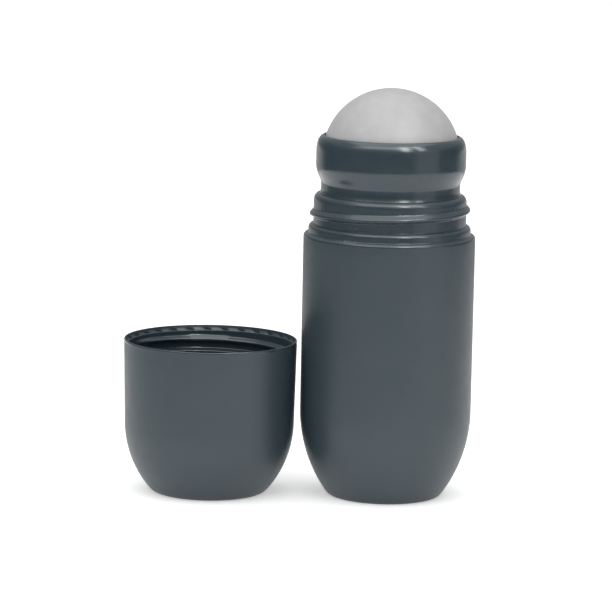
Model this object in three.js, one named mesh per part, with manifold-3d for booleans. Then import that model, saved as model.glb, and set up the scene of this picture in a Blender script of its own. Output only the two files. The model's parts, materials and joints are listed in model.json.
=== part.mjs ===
// Roll-on antiperspirant with its screw cap off: the cap stands on its closed end beside the bottle.
// Millimetres, +Z up. The origin is on the floor, under the middle of the pair.
import * as THREE from 'three';
import { mergeVertices } from 'three/addons/utils/BufferGeometryUtils.js';
import Module from 'manifold-3d';

// Ball, a hollow 1.4 inch ball welded from two half shells
const BALL_RADIUS = 17.78;
const BALL_WALL = 1.4;
const WELD_GAP = 0.3;
const TONGUE_LENGTH = 1.0;
const TONGUE_WALL = 0.6;

// Ball housing, snapped into the neck, with a thin flared flange that rests on the lip
const BALL_CLEARANCE = 0.3;
const HOUSING_WALL = 1.22;
const RIM_LIFT = 5.55;
const RIM_LAND = 0.2;
const RIM_ROUND_HEIGHT = 3.7;
const BULGE_BAND_HEIGHT = 3.6;
const WAIST_CURVE_HEIGHT = 5.15;
const WAIST_LOWER_PULL = 1.3;
const WAIST_UPPER_PULL = 2.45;
const WAIST_DRAW = 1.4;
const PLUG_WALL = 1.35;
const PLUG_DEPTH = 8.0;
const FLANGE_PROUD = 0.55;
const FLANGE_EDGE = 0.2;
const FLANGE_FLARE = 0.6;
const CUP_WALL = 1.4;
const FEED_HOLE_RADIUS = 11.5;
const SNAP_PROUD = 0.6;
const SNAP_HALF_HEIGHT = 0.6;
const SNAP_DEPTH = 2.2;

// Bottle, from the floor up
const BODY_HEIGHT = 68.5;
const BODY_WALL = 1.8;
const TAPER_HEIGHT = 22.5;
const TAPER_CURVE = 37.0;
const BASE_EDGE = 1.0;
const BASE_THICKNESS = 1.6;
const STANDING_RING = 2.87;
const RECESS_DEPTH = 1.0;
const SHOULDER_EDGE = 0.7;
const SHOULDER_WALL = 1.6;
const SHOULDER_FLARE = 2.5;
const FIT_CLEARANCE = 0.3;
const NECK_WALL = 1.48;
const NECK_HEIGHT = 10.0;
const LIP_ROUND = 1.3;
const LIP_ROUND_HEIGHT = 1.6;
const BALL_LIFT = 9.7;
const COLLAR_WALL = 1.25;
const COLLAR_ROUND = 1.2;
const COLLAR_PROUD = 1.25;

// Screw thread, eight turns to the inch, right hand, on the neck and inside the cap, angles in degrees.
// A ridge has a flank below its crest and one above it, as it is with the cap screwed on.
// Inside the cap a short lug, set just inside the ridge, draws the lower flank out towards the mouth.
const THREAD_LEAD = 3.175;
const THREAD_CREST = 0.3;
const THREAD_FADE = 25;
const NECK_THREAD_HEIGHT = 1.0;
const NECK_FLANK_BELOW = 0.7;
const NECK_FLANK_ABOVE = 1.2;
const NECK_THREAD_RISE = 3.58;
const NECK_THREAD_START = 30;
const NECK_THREAD_SWEEP = 470;
const CAP_FLANK_BELOW = 0.6;
const CAP_FLANK_ABOVE = 0.9;
const CAP_THREAD_INSET = 0.88;
const CAP_THREAD_SWEEP = 500;
const LUG_TURN = 52.4;
const LUG_SWEEP = 31;
const LUG_RISE = 0.25;
const LUG_INSET = 0.15;

// Screw cap, from its mouth to its closed end
const RIM_GAP = 0.3;
const THREAD_CLEARANCE = 0.4;
const MOUTH_CLEARANCE = 0.5;
const MOUTH_BORE_DEPTH = 2.6;
const MOUTH_WALL = 0.99;
const MOUTH_LAND = 0.35;
const CHAMFER_DEPTH = 1.4;
const TOOTH_COUNT = 30;
const TOOTH_GAP = 1.9;
const TOOTH_START = 0.25;
const TOOTH_INSET = 0.12;
const TOOTH_SLANT = 48;
const TOOTH_TURN = 8.2;
const CAP_OVERHANG = 0.26;
const CAP_DRAFT = 0.44;
const CAP_SIDE_WALL = 1.2;
const CAP_TAPER_HEIGHT = 18.5;
const CAP_TAPER_CURVE = 26.8;
const CAP_TOP_WALL = 1.5;
const CAP_TOP_EDGE = 1.2;
const HEAD_CLEARANCE = 1.32;
const PRESS_RING_RADIUS = 7.6;
const PRESS_RING_WALL = 1.0;
const PRESS_GAP = 0.3;

// Contents, and how the pair stands
const FILL_HEIGHT = 46.0;
const FILL_CLEARANCE = 0.3;
const ROW_GAP = 1.05;
const CAP_TURN = 18;

// Facets: sides of a turned piece, steps of a large, middling and small curve, degrees of a thread step,
// and how far inside its wall a ridge starts
const SIDES = 40;
const LARGE_STEPS = 7;
const MIDDLE_STEPS = 4;
const SMALL_STEPS = 2;
const THREAD_STEP = 12;
const EMBED = 0.3;

// Radii that follow from the ball outwards
const seatRadius = BALL_RADIUS + BALL_CLEARANCE;
const bulgeRadius = seatRadius + HOUSING_WALL;
const plugRadius = bulgeRadius - WAIST_DRAW;
const neckBore = plugRadius + FIT_CLEARANCE;
const neckRadius = neckBore + NECK_WALL;
const mouthBore = neckRadius + COLLAR_PROUD + MOUTH_CLEARANCE;
const mouthRadius = mouthBore + MOUTH_WALL;
const bodyRadius = mouthRadius - CAP_OVERHANG;

// Heights that follow from the floor upwards, and those of the screwed-on cap from its mouth
const lipHeight = BODY_HEIGHT + NECK_HEIGHT;
const ballHeight = lipHeight + BALL_LIFT;
const snapHeight = lipHeight - SNAP_DEPTH;
const ballAboveMouth = ballHeight - BODY_HEIGHT - RIM_GAP;
const ceilingHeight = ballAboveMouth + BALL_RADIUS + HEAD_CLEARANCE;
const capHeight = ceilingHeight + CAP_TOP_WALL;

const wasm = await Module();
wasm.setup();
const radians = THREE.MathUtils.degToRad;

// Distance from the centre line of a circle to its edge, at some distance across it
function chord(radius, across) {
  return Math.sqrt(radius ** 2 - across ** 2);
}

// A point of a half outline: radius from the axis, height along it
function at(radius, height) {
  return new THREE.Vector2(radius, height);
}

// Points along a round or elliptical stretch of a half outline, angles in radians
function arc(centre, acrossRadius, alongRadius, from, to, steps) {
  const curve = new THREE.EllipseCurve(centre.x, centre.y, acrossRadius, alongRadius, from, to, to < from);
  return curve.getPoints(steps);
}

// Points that round off the corner between two points of a half outline
function rounded(before, corner, after, steps) {
  return new THREE.QuadraticBezierCurve(before, corner, after).getPoints(steps);
}

// Closed solid of a geometry, without seams or collapsed triangles
function solidOf(geometry) {
  geometry.deleteAttribute('normal');
  geometry.deleteAttribute('uv');
  const merged = mergeVertices(geometry);
  const corners = Array.from(merged.index.array);
  const triangles = [];
  for (let i = 0; i < corners.length; i += 3) {
    const [a, b, c] = corners.slice(i, i + 3);
    if (a !== b && b !== c && c !== a) {
      triangles.push(a, b, c);
    }
  }
  const vertProperties = new Float32Array(merged.attributes.position.array);
  const triVerts = new Uint32Array(triangles);
  return new wasm.Manifold(new wasm.Mesh({ numProp: 3, vertProperties, triVerts }));
}

// Geometry of a solid, for a mesh
function geometryOf(solid) {
  const { vertProperties, triVerts } = solid.getMesh();
  const geometry = new THREE.BufferGeometry();
  geometry.setAttribute('position', new THREE.BufferAttribute(new Float32Array(vertProperties), 3));
  geometry.setIndex(new THREE.BufferAttribute(new Uint32Array(triVerts), 1));
  geometry.computeVertexNormals();
  return geometry;
}

// Solid turned about +Z from a half outline that runs up its outside and down its inside
function turned(outline) {
  return solidOf(new THREE.LatheGeometry(outline, SIDES).rotateX(Math.PI / 2));
}

// Helical ridge on a wall. foot is the wall's radius, crest the ridge's, and root the radius where the
// ridge starts inside the wall; below and above are the heights of its flanks.
function ridge({ foot, crest, root, below, above, startAngle, sweep, startHeight, fade }) {
  const steps = Math.ceil(sweep / THREAD_STEP);
  const half = THREAD_CREST / 2;
  const positions = [];
  const index = [];
  for (let i = 0; i <= steps; i++) {
    const turn = (sweep * i) / steps;
    const share = fade > 0 ? Math.min(1, turn / fade, (sweep - turn) / fade) : 1;
    const reach = foot + (crest - foot) * share;
    const height = startHeight + (THREAD_LEAD * turn) / 360;
    const angle = radians(startAngle + turn);
    const section = [
      at(root, -half - below),
      at(foot, -half - below),
      at(reach, -half),
      at(reach, half),
      at(foot, half + above),
      at(root, half + above),
    ];
    for (const point of section) {
      positions.push(point.x * Math.cos(angle), point.x * Math.sin(angle), height + point.y);
    }
  }
  const corners = positions.length / 3 / (steps + 1);
  for (let i = 0; i < steps; i++) {
    for (let k = 0; k < corners; k++) {
      const a = corners * i + k;
      const b = corners * i + ((k + 1) % corners);
      index.push(a, a + corners, b, b, a + corners, b + corners);
    }
  }
  const last = corners * steps;
  for (let k = 1; k < corners - 1; k++) {
    index.push(0, k, k + 1, last, last + k + 1, last + k);
  }
  if (crest < foot) {
    index.reverse();
  }
  const geometry = new THREE.BufferGeometry();
  geometry.setAttribute('position', new THREE.Float32BufferAttribute(positions, 3));
  geometry.setIndex(index);
  return solidOf(geometry);
}

// Wall radius and angle span of a side that draws in along an arc towards its end face
function taper(sideRadius, curve, taperHeight) {
  const centre = at(sideRadius - curve, taperHeight);
  const radiusAt = (height, inset) => centre.x + chord(curve - inset, taperHeight - height);
  const angleAt = (height, inset) => -Math.asin((taperHeight - height) / (curve - inset));
  return { centre, curve, radiusAt, angleAt };
}

// Bottle: tapered body, collar and thread on the neck, snap groove in the bore
function bottleSolid() {
  const side = taper(bodyRadius, TAPER_CURVE, TAPER_HEIGHT);
  const floor = RECESS_DEPTH + BASE_THICKNESS;
  const corner = at(side.radiusAt(0, 0), 0);
  const edgeStart = at(corner.x - BASE_EDGE, 0);
  const recessRadius = edgeStart.x - STANDING_RING;
  const edgeEnd = at(side.radiusAt(BASE_EDGE, 0), BASE_EDGE);
  const shoulderCentre = at(bodyRadius - SHOULDER_EDGE, BODY_HEIGHT - SHOULDER_EDGE);
  const collarCentre = at(neckRadius, BODY_HEIGHT + COLLAR_WALL);
  const lipCentre = at(neckRadius - LIP_ROUND, lipHeight - LIP_ROUND_HEIGHT);
  const grooveHalf = SNAP_HALF_HEIGHT + FIT_CLEARANCE;
  const shoulderInside = BODY_HEIGHT - SHOULDER_WALL;
  const insideRadius = bodyRadius - BODY_WALL;
  const outline = [
    at(0, RECESS_DEPTH),
    at(recessRadius - RECESS_DEPTH, RECESS_DEPTH),
    at(recessRadius, 0),
    ...rounded(edgeStart, corner, edgeEnd, SMALL_STEPS),
    ...arc(side.centre, side.curve, side.curve, side.angleAt(BASE_EDGE, 0), 0, MIDDLE_STEPS).slice(1),
    ...arc(shoulderCentre, SHOULDER_EDGE, SHOULDER_EDGE, 0, Math.PI / 2, SMALL_STEPS),
    at(neckRadius + COLLAR_PROUD, BODY_HEIGHT),
    ...arc(collarCentre, COLLAR_PROUD, COLLAR_ROUND, 0, Math.PI / 2, MIDDLE_STEPS),
    ...arc(lipCentre, LIP_ROUND, LIP_ROUND_HEIGHT, 0, Math.PI / 2, MIDDLE_STEPS),
    at(neckBore, lipHeight),
    ...arc(at(neckBore, snapHeight), SNAP_PROUD, grooveHalf, Math.PI / 2, -Math.PI / 2, SMALL_STEPS),
    at(neckBore, shoulderInside),
    at(insideRadius, shoulderInside - SHOULDER_FLARE),
    ...arc(side.centre, insideRadius - side.centre.x, insideRadius - side.centre.x, 0,
      side.angleAt(floor, BODY_WALL), MIDDLE_STEPS),
    at(0, floor),
  ];
  const thread = ridge({
    foot: neckRadius,
    crest: neckRadius + NECK_THREAD_HEIGHT,
    root: neckRadius - EMBED,
    below: NECK_FLANK_BELOW,
    above: NECK_FLANK_ABOVE,
    startAngle: NECK_THREAD_START,
    sweep: NECK_THREAD_SWEEP,
    startHeight: BODY_HEIGHT + NECK_THREAD_RISE,
    fade: THREAD_FADE,
  });
  return turned(outline).add(thread);
}

// Ball housing: bulged rim that holds the ball, waist, flange, plug with a snap bead, cup with a feed hole
function housingSolid() {
  const rimHeight = ballHeight + RIM_LIFT;
  const opening = chord(seatRadius, RIM_LIFT);
  const roundCentre = at(opening + RIM_LAND, rimHeight - RIM_ROUND_HEIGHT);
  const bandBottom = roundCentre.y - BULGE_BAND_HEIGHT;
  const waistTop = bandBottom - WAIST_CURVE_HEIGHT;
  const plugBottom = lipHeight - PLUG_DEPTH;
  const plugInside = plugRadius - PLUG_WALL;
  const flangeBottom = lipHeight + FIT_CLEARANCE;
  const flangeTop = flangeBottom + FLANGE_EDGE;
  const flangeRadius = plugRadius + FLANGE_PROUD;
  const flareTop = at(plugRadius, flangeTop + FLANGE_FLARE);
  const cupRadius = seatRadius + CUP_WALL;
  const centre = at(0, ballHeight);
  const waistCurve = new THREE.CubicBezierCurve(
    at(plugRadius, waistTop),
    at(plugRadius, waistTop + WAIST_LOWER_PULL),
    at(bulgeRadius, bandBottom - WAIST_UPPER_PULL),
    at(bulgeRadius, bandBottom),
  );
  const start = at(plugRadius, plugBottom);
  const outline = [
    start,
    ...arc(at(plugRadius, snapHeight), SNAP_PROUD, SNAP_HALF_HEIGHT, -Math.PI / 2, Math.PI / 2, SMALL_STEPS),
    at(plugRadius, flangeBottom),
    at(flangeRadius, flangeBottom),
    ...rounded(at(flangeRadius, flangeTop), at(plugRadius, flangeTop), flareTop, SMALL_STEPS),
    ...waistCurve.getPoints(MIDDLE_STEPS),
    ...arc(roundCentre, bulgeRadius - roundCentre.x, RIM_ROUND_HEIGHT, 0, Math.PI / 2, MIDDLE_STEPS),
    ...arc(centre, seatRadius, seatRadius, Math.asin(RIM_LIFT / seatRadius),
      -Math.acos(FEED_HOLE_RADIUS / seatRadius), LARGE_STEPS),
    ...arc(centre, cupRadius, cupRadius, -Math.acos(FEED_HOLE_RADIUS / cupRadius),
      -Math.acos(plugInside / cupRadius), SMALL_STEPS),
    at(plugInside, plugBottom),
    start.clone(),
  ];
  return turned(outline);
}

// Upper half of the ball, with the tongue of the weld joint
function ballUpperSolid() {
  const inside = BALL_RADIUS - BALL_WALL;
  const tongueRadius = inside + TONGUE_WALL;
  const weld = ballHeight + WELD_GAP / 2;
  const centre = at(0, ballHeight);
  const weldAngle = Math.asin(WELD_GAP / 2 / BALL_RADIUS);
  return turned([
    ...arc(centre, inside, inside, Math.PI / 2, 0, LARGE_STEPS),
    at(inside, ballHeight - TONGUE_LENGTH),
    at(tongueRadius, ballHeight - TONGUE_LENGTH),
    at(tongueRadius, weld),
    ...arc(centre, BALL_RADIUS, BALL_RADIUS, weldAngle, Math.PI / 2, LARGE_STEPS),
  ]);
}

// Lower half of the ball, with the recess that takes the tongue
function ballLowerSolid() {
  const inside = BALL_RADIUS - BALL_WALL;
  const recessRadius = inside + TONGUE_WALL + WELD_GAP;
  const weld = ballHeight - WELD_GAP / 2;
  const recessDepth = TONGUE_LENGTH + WELD_GAP;
  const centre = at(0, ballHeight);
  const weldAngle = Math.asin(WELD_GAP / 2 / BALL_RADIUS);
  return turned([
    ...arc(centre, BALL_RADIUS, BALL_RADIUS, -Math.PI / 2, -weldAngle, LARGE_STEPS),
    at(recessRadius, weld),
    at(recessRadius, ballHeight - recessDepth),
    ...arc(centre, inside, inside, -Math.asin(recessDepth / inside), -Math.PI / 2, LARGE_STEPS),
  ]);
}

// Notches between the teeth, cut upright into the chamfer inside the cap's mouth and leaning round it
function toothNotches() {
  const slope = (mouthRadius - MOUTH_LAND - mouthBore) / CHAMFER_DEPTH;
  const floorRadius = mouthRadius - MOUTH_LAND - slope * TOOTH_START;
  const innerRadius = mouthBore - EMBED;
  const end = CHAMFER_DEPTH - TOOTH_INSET;
  const lean = end * Math.tan(radians(TOOTH_SLANT));
  const half = TOOTH_GAP / 2;
  const face = new THREE.Shape([at(-half, end), at(-half - lean, 0), at(half - lean, 0), at(half, end)]);
  const settings = { depth: floorRadius - innerRadius, bevelEnabled: false };
  let notches = null;
  for (let i = 0; i < TOOTH_COUNT; i++) {
    const notch = new THREE.ExtrudeGeometry(face, settings);
    notch.rotateX(Math.PI / 2).rotateZ(Math.PI / 2);
    notch.translate(innerRadius, 0, 0);
    notch.rotateZ(radians(TOOTH_TURN) + (2 * Math.PI * i) / TOOTH_COUNT);
    const solid = solidOf(notch);
    notches = notches ? notches.add(solid) : solid;
  }
  return notches;
}

// Screw cap as it sits on the bottle: mouth at height 0, closed end on top
function capSolid() {
  const sideRadius = mouthRadius - CAP_DRAFT;
  const side = taper(sideRadius, CAP_TAPER_CURVE, CAP_TAPER_HEIGHT);
  const ringOutside = PRESS_RING_RADIUS + PRESS_RING_WALL;
  const ballTop = ballAboveMouth + chord(BALL_RADIUS, PRESS_RING_RADIUS);
  const ringBottom = ballTop + PRESS_GAP;
  const corner = at(side.radiusAt(0, 0), capHeight);
  const edgeStart = at(side.radiusAt(CAP_TOP_EDGE, 0), capHeight - CAP_TOP_EDGE);
  const edgeEnd = at(corner.x - CAP_TOP_EDGE, capHeight);
  const centre = at(side.centre.x, capHeight - CAP_TAPER_HEIGHT);
  const insideCurve = side.curve - CAP_SIDE_WALL;
  const outline = [
    at(0, ceilingHeight),
    at(PRESS_RING_RADIUS, ceilingHeight),
    at(PRESS_RING_RADIUS, ringBottom),
    at(ringOutside, ringBottom),
    at(ringOutside, ceilingHeight),
    ...arc(centre, insideCurve, insideCurve, -side.angleAt(CAP_TOP_WALL, CAP_SIDE_WALL), 0, MIDDLE_STEPS),
    at(mouthBore, MOUTH_BORE_DEPTH),
    at(mouthBore, CHAMFER_DEPTH),
    at(mouthRadius - MOUTH_LAND, 0),
    at(mouthRadius, 0),
    ...arc(centre, side.curve, side.curve, 0, -side.angleAt(CAP_TOP_EDGE, 0), MIDDLE_STEPS).slice(0, -1),
    ...rounded(edgeStart, corner, edgeEnd, SMALL_STEPS),
    at(0, capHeight),
  ];
  const betweenTurns = NECK_THREAD_RISE - THREAD_LEAD / 2 - RIM_GAP;
  const startHeight = CHAMFER_DEPTH + CAP_THREAD_INSET + CAP_FLANK_BELOW + THREAD_CREST / 2;
  const startAngle = NECK_THREAD_START + ((startHeight - betweenTurns) * 360) / THREAD_LEAD;
  const wall = {
    foot: mouthBore,
    crest: neckRadius + THREAD_CLEARANCE,
    root: mouthBore + EMBED,
    below: CAP_FLANK_BELOW,
    above: CAP_FLANK_ABOVE,
  };
  const thread = ridge({ ...wall, startAngle, sweep: CAP_THREAD_SWEEP, startHeight, fade: THREAD_FADE });
  const lug = ridge({
    ...wall,
    crest: wall.crest + LUG_INSET,
    below: CAP_FLANK_BELOW + LUG_RISE,
    above: CAP_FLANK_ABOVE - LUG_INSET,
    startAngle: startAngle + LUG_TURN,
    sweep: LUG_SWEEP,
    startHeight: startHeight + (THREAD_LEAD * LUG_TURN) / 360,
    fade: 0,
  });
  return turned(outline).subtract(toothNotches()).add(thread).add(lug);
}

// Liquid contents: fills the bottle to its level, just clear of the walls
function liquidSolid() {
  const side = taper(bodyRadius, TAPER_CURVE, TAPER_HEIGHT);
  const inset = BODY_WALL + FILL_CLEARANCE;
  const floor = RECESS_DEPTH + BASE_THICKNESS + FILL_CLEARANCE;
  const curve = side.curve - inset;
  return turned([
    at(0, floor),
    ...arc(side.centre, curve, curve, side.angleAt(floor, inset), 0, MIDDLE_STEPS),
    at(bodyRadius - inset, FILL_HEIGHT),
    at(0, FILL_HEIGHT),
  ]);
}

// Named mesh of a solid in its own material
function piece(name, solid, color, roughness) {
  const mesh = new THREE.Mesh(
    geometryOf(solid),
    new THREE.MeshStandardMaterial({ color, roughness, metalness: 0 }),
  );
  mesh.name = name;
  return mesh;
}

// Bottle and what it carries
const bottleGroup = new THREE.Group();
bottleGroup.position.x = mouthRadius + ROW_GAP / 2;
bottleGroup.add(
  piece('bottle', bottleSolid(), 0x4a5257, 0.55),
  piece('ball_housing', housingSolid(), 0x3d474b, 0.25),
  piece('ball_upper_shell', ballUpperSolid(), 0xc4c3c5, 0.45),
  piece('ball_lower_shell', ballLowerSolid(), 0xc4c3c5, 0.45),
  piece('antiperspirant_liquid', liquidSolid(), 0xe9ebe8, 0.15),
);

// Cap, turned over on its closed end
const cap = piece('screw_cap', capSolid(), 0x4a5257, 0.5);
cap.rotation.set(Math.PI, 0, radians(CAP_TURN));
cap.position.set(-(bodyRadius + ROW_GAP / 2), 0, capHeight);

const rollOn = new THREE.Group();
rollOn.add(bottleGroup, cap);

export default rollOn;
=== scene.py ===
"""Studio scene of a roll-on antiperspirant whose screw cap stands upside down beside it.

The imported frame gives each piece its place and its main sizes. The classes below turn the pieces again
as fine meshes with rounded edges, thread and teeth, dress them, and set up the light and the camera.
Lengths are metres. Angles are degrees, except those that go round a piece, which are radians.
"""

import json
import logging
import math
from abc import ABC, abstractmethod
from collections.abc import Callable
from dataclasses import dataclass, field, replace
from enum import Enum

import bpy
from mathutils import Matrix, Vector


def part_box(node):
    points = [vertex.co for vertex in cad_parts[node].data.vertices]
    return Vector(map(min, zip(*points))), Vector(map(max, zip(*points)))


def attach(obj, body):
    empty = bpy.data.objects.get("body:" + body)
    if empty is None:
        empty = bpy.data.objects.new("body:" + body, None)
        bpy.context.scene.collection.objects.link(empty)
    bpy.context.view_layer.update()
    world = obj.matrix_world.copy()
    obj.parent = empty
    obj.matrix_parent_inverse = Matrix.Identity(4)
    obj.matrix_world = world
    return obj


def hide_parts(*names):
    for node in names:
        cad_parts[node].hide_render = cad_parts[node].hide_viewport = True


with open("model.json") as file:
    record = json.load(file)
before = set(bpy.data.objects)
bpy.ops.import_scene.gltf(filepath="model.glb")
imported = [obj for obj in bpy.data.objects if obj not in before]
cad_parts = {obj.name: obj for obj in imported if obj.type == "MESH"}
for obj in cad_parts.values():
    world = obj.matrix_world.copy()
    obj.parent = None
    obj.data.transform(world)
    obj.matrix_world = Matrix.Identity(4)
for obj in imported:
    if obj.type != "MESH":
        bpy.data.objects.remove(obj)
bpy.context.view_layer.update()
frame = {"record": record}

log = logging.getLogger("roll_on")

MM = 0.001
ROUND_STEPS = 4
# A row this far from a rounding keeps the straight wall beside it flat.
SUPPORT = 0.15 * MM
SHARP_ANGLE = math.radians(70)
NOISE_REACH = (0.3, 0.7)
THREAD_LEAD = 3.175 * MM
# A Mix node's colour sockets share their names with its other sockets, so they go by number.
MIX_FIRST = 6
MIX_SECOND = 7
MIX_RESULT = 2

Point = tuple[float, float]
Span = tuple[float, float]
Place = tuple[float, float, float]
Polar = tuple[float, float, float]
Colour = tuple[float, float, float, float]
Socket = bpy.types.NodeSocket
Feed = Socket | float | Place | Colour


class Zone(Enum):
    """Kinds of moulded surface."""

    TEXTURED = "textured"
    POLISHED = "polished"
    SATIN = "satin"


@dataclass(frozen=True)
class Row:
    """Ring of a turned piece, with the zone of the strip that follows it."""

    radius: float
    height: float
    zone: Zone


@dataclass(frozen=True)
class Corner:
    """Point of a half outline, with how far from it a rounding starts on either side."""

    radius: float
    height: float
    trim: float = 0.0

    @property
    def point(self) -> Point:
        """Radius and height as a pair."""
        return (self.radius, self.height)


@dataclass(frozen=True)
class Stretch:
    """Run of a half outline in one zone, cut into rows no further apart than step."""

    zone: Zone
    step: float
    corners: list[Corner]


Relief = Callable[[Row, float], Polar]


def smooth(share: float) -> float:
    """Eases a share of a rise in and out.

    Args:
        share: Share along the rise; values outside 0 to 1 are taken as its ends.

    Returns:
        The eased share, from 0 to 1.
    """
    share = min(1.0, max(0.0, share))
    return share * share * (3 - 2 * share)


def ramp(share: float, ease: float = 0.15) -> float:
    """Rises straight from 0 to 1, with an eased start and end.

    Args:
        share: Share along the rise.
        ease: Half length of the eased ends, as a share of the rise.

    Returns:
        The level, from 0 to 1.
    """
    if share < 0.5:
        return max(share, 0.0) if abs(share) > ease else (share + ease) ** 2 / (4 * ease)
    return 1.0 - ramp(1.0 - share, ease)


def chord(radius: float, across: float) -> float:
    """Gives the distance from a circle's centre line to its edge, at some distance across it."""
    return math.sqrt(radius**2 - across**2)


def lerp(first: Point, second: Point, share: float) -> Point:
    """Gives the point at a share of the way between two points."""
    return (first[0] + (second[0] - first[0]) * share, first[1] + (second[1] - first[1]) * share)


def toward(start: Point, end: Point, length: float) -> Point:
    """Gives the point at a length from a start towards an end."""
    return lerp(start, end, length / math.dist(start, end))


def bezier(points: list[Point], steps: int) -> list[Point]:
    """Samples a Bezier curve.

    Args:
        points: Its control points.
        steps: Number of equal steps of its parameter.

    Returns:
        The points on the curve, both ends included.
    """
    curve = []
    for step in range(steps + 1):
        level = points
        while len(level) > 1:
            level = [lerp(a, b, step / steps) for a, b in zip(level, level[1:])]
        curve.append(level[0])
    return curve


def bend(points: list[Point], steps: int) -> list[Corner]:
    """Gives the corners along a Bezier curve."""
    return [Corner(*point) for point in bezier(points, steps)]


def arc(centre: Point, radii: Point, start: float, end: float, steps: int) -> list[Corner]:
    """Samples a round or elliptical stretch of a half outline.

    Args:
        centre: Centre of the arc.
        radii: Half axes across and along the piece.
        start: First angle, in radians from the radial direction.
        end: Last angle.
        steps: Number of equal angle steps.

    Returns:
        The corners on the arc, both ends included.
    """
    corners = []
    for step in range(steps + 1):
        angle = start + (end - start) * step / steps
        radius = centre[0] + radii[0] * math.cos(angle)
        corners.append(Corner(radius, centre[1] + radii[1] * math.sin(angle)))
    return corners


def rows_of(stretches: list[Stretch], closed: bool) -> list[Row]:
    """Cuts a half outline into rows.

    Args:
        stretches: The outline's stretches in order, with the solid on the left.
        closed: Whether the outline joins its own start instead of ending on the axis.

    Returns:
        The rows in order, with corners rounded and long lines divided.
    """
    flat = [(corner, stretch) for stretch in stretches for corner in stretch.corners]
    points: list[tuple[Point, Stretch, bool]] = []
    for index, (corner, stretch) in enumerate(flat):
        if corner.trim == 0.0:
            points.append((corner.point, stretch, False))
            continue
        before = toward(corner.point, flat[index - 1][0].point, corner.trim)
        after = toward(corner.point, flat[(index + 1) % len(flat)][0].point, corner.trim)
        control = [before, corner.point, after]
        points += [(point, stretch, True) for point in bezier(control, ROUND_STEPS)]
    following = points[1:] + (points[:1] if closed else [])
    rows = []
    for (start, stretch, tight_start), (end, _, tight_end) in zip(points, following):
        length = math.dist(start, end)
        cuts = max(1, math.ceil(length / stretch.step))
        shares = {cut / cuts for cut in range(cuts)}
        if length > 4 * SUPPORT:
            shares |= {SUPPORT / length} if tight_start else set()
            shares |= {1 - SUPPORT / length} if tight_end else set()
        rows += [Row(*lerp(start, end, share), stretch.zone) for share in sorted(shares)]
    if not closed:
        rows.append(Row(*points[-1][0], points[-1][1].zone))
    return rows


def turned_mesh(
    name: str, rows: list[Row], angles: list[float], closed: bool, relief: Relief, slots: list[Zone]
) -> bpy.types.Mesh:
    """Makes a closed mesh of rings about the Z axis.

    Args:
        name: Name of the mesh.
        rows: Rows of the half outline; one on the axis becomes a single point.
        angles: Angle of each column.
        closed: Whether the last row joins the first.
        relief: Gives a point's radius, angle and height from its row and column angle.
        slots: Zones in the order of the material slots.

    Returns:
        The mesh, smooth, with sharp edges where the outline has bare corners.
    """
    on_axis = 1e-9
    vertices: list[Place] = []
    rings = []
    for row in rows:
        first = len(vertices)
        if abs(row.radius) < on_axis:
            rings.append([first] * len(angles))
            vertices.append((0.0, 0.0, row.height))
            continue
        rings.append(list(range(first, first + len(angles))))
        for angle in angles:
            radius, turn, height = relief(row, angle)
            vertices.append((radius * math.cos(turn), radius * math.sin(turn), height))
    following = rings[1:] + (rings[:1] if closed else [])
    faces = []
    indices = []
    for row, lower, upper in zip(rows, rings, following):
        for column in range(len(angles)):
            beside = (column + 1) % len(angles)
            loop = dict.fromkeys((lower[column], lower[beside], upper[beside], upper[column]))
            faces.append(tuple(loop))
            indices.append(slots.index(row.zone))
    mesh = bpy.data.meshes.new(name)
    mesh.from_pydata(vertices, [], faces)
    mesh.polygons.foreach_set("material_index", indices)
    mesh.shade_smooth()
    mesh.set_sharp_from_angle(angle=SHARP_ANGLE)
    mesh.update()
    return mesh


def add_object(name: str, data: bpy.types.ID) -> bpy.types.Object:
    """Puts a new object into the scene.

    Args:
        name: Name of the object.
        data: Its mesh, lamp or camera.

    Returns:
        The object.
    """
    added = bpy.data.objects.new(name, data)
    bpy.context.collection.objects.link(added)
    return added


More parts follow.
